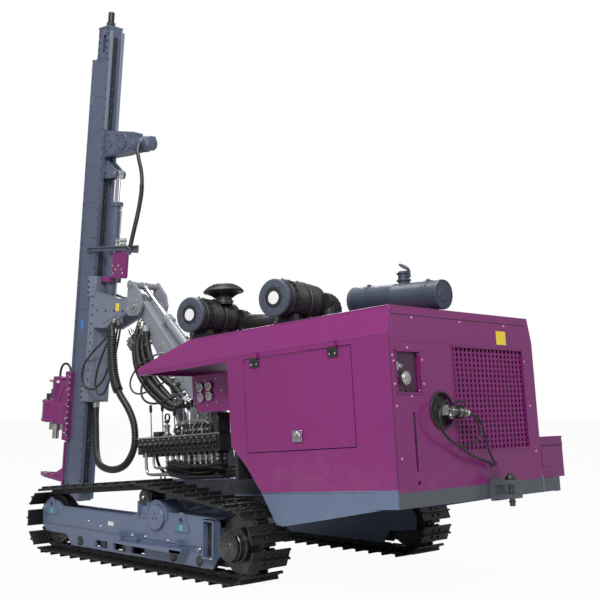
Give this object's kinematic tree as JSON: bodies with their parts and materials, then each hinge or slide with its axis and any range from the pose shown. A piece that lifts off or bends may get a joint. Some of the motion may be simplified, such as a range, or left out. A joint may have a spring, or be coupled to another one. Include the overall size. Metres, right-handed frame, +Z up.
{
  "type": "crawler drilling rig",
  "caption": "Crawler drilling rig: two tracks, a nose-down machine house, a lifting boom and an upright mast with a sliding rotation head",
  "frame": {"origin": "on the ground, at the middle of the rig's own length and width", "axes": "+X forward towards the mast, +Y to the rig's left, +Z up"},
  "size_m": [6.2238, 2.47, 5.7274],
  "materials": {
    "purple": "gloss",
    "slate": "satin",
    "bluegrey": "satin",
    "silver": "satin",
    "darkgrey": "satin",
    "black": "satin",
    "steel": "satin",
    "chrome": "polished",
    "hose": "matt",
    "track": "matt"
  },
  "bodies": {
    "carrier": {"base_frame": "silver", "side_skirts": "bluegrey", "rear_beam": "darkgrey", "tow_pin": "steel", "track_frames": "bluegrey", "track_left": "track", "track_right": "track", "track_wheels": "darkgrey", "engine_block": "darkgrey", "hood": "purple", "side_panels": "purple", "rear_panel": "purple", "rear_grille": "black", "gauge_panel": "purple", "toolbox": "purple", "valve_bank": "darkgrey", "control_levers": "steel", "air_filters": "bluegrey", "rain_cap": "black", "muffler": "darkgrey", "rear_fittings": "steel", "rear_cable": "hose"},
    "left_door": {"left_door": "purple"},
    "right_door": {"right_door": "purple"},
    "toolbox_lid": {"toolbox_lid": "purple"},
    "rain_flap": {"rain_flap": "steel"},
    "boom": {"boom": "silver", "hose_bundle": "hose"},
    "lift_barrel": {"lift_barrel": "darkgrey"},
    "lift_rod": {"lift_rod": "chrome"},
    "tilt_barrel": {"tilt_barrel": "darkgrey"},
    "tilt_rod": {"tilt_rod": "chrome"},
    "boom_head": {"boom_head": "silver"},
    "cradle": {"cradle": "purple", "shift_barrel": "slate"},
    "mast": {"mast": "slate", "feed_chain": "steel", "feed_gear": "slate", "shift_rod": "chrome", "rod_guide": "purple", "feed_hose": "hose"},
    "head_sled": {"head_sled": "purple", "rotation_head": "purple", "head_hose": "hose"},
    "spindle": {"drill_spindle": "steel"}
  },
  "joints": [
    {"name": "left_door_hinge", "type": "hinge", "parent": "carrier", "child": "left_door", "pos_m": [-1.40764, 1.076, 1.7067], "axis": [0.9973, 0, -0.0732], "range_deg": [0, 88]},
    {"name": "right_door_hinge", "type": "hinge", "parent": "carrier", "child": "right_door", "pos_m": [-1.40764, -0.801, 1.7067], "axis": [-0.9973, 0, 0.0732], "range_deg": [0, 88]},
    {"name": "toolbox_hinge", "type": "hinge", "parent": "carrier", "child": "toolbox_lid", "pos_m": [-2.8756, -0.806, 1.1056], "axis": [-0.9973, 0, 0.0732], "range_deg": [0, 80]},
    {"name": "flap_hinge", "type": "hinge", "parent": "carrier", "child": "rain_flap", "pos_m": [-2.28956, 0.11, 2.43023], "axis": [0, -1, 0], "range_deg": [-38, 45]},
    {"name": "boom_lift", "type": "hinge", "parent": "carrier", "child": "boom", "pos_m": [0.23766, 0, 1.30913], "axis": [0, -1, 0], "range_deg": [-32, 6]},
    {"name": "lift_barrel_swing", "type": "hinge", "parent": "carrier", "child": "lift_barrel", "pos_m": [0.43431, 0, 0.7783], "axis": [0, -1, 0], "range_deg": [-21.75, 4.48]},
    {"name": "lift_rod_slide", "type": "slide", "parent": "lift_barrel", "child": "lift_rod", "axis": [0.4186, 0, 0.9082], "range_m": [-0.2538, 0.05]},
    {"name": "mast_tilt", "type": "hinge", "parent": "boom", "child": "boom_head", "pos_m": [1.20404, 0, 2.35639], "axis": [0, -1, 0], "range_deg": [-8, 85]},
    {"name": "tilt_barrel_swing", "type": "hinge", "parent": "boom", "child": "tilt_barrel", "pos_m": [0.31215, 0, 1.70984], "axis": [0, -1, 0], "range_deg": [-1.16, 7.52]},
    {"name": "tilt_rod_slide", "type": "slide", "parent": "tilt_barrel", "child": "tilt_rod", "axis": [0.7372, 0, 0.6757], "range_m": [-0.2934, 0.0303]},
    {"name": "mast_swing", "type": "hinge", "parent": "boom_head", "child": "cradle", "pos_m": [1.32609, 0, 2.39674], "axis": [0.9965, 0, 0.0837], "range_deg": [-25, 25]},
    {"name": "mast_shift", "type": "slide", "parent": "cradle", "child": "mast", "axis": [-0.0837, 0, 0.9965], "range_m": [-0.25, 0.65]},
    {"name": "head_feed", "type": "slide", "parent": "mast", "child": "head_sled", "axis": [-0.0837, 0, 0.9965], "range_m": [0, 3.45]},
    {"name": "spindle_spin", "type": "hinge", "parent": "head_sled", "child": "spindle", "pos_m": [2.8758, 0, 0.97142], "axis": [-0.0837, 0, 0.9965], "continuous": true}
  ],
  "couplings": [
    {"joint": "lift_barrel_swing", "follows": "boom_lift", "ratio": 0.66393},
    {"joint": "lift_rod_slide", "follows": "boom_lift", "m_per_rad": 0.44905},
    {"joint": "tilt_barrel_swing", "follows": "mast_tilt", "ratio": 0.08256},
    {"joint": "tilt_rod_slide", "follows": "mast_tilt", "m_per_rad": -0.19576}
  ]
}
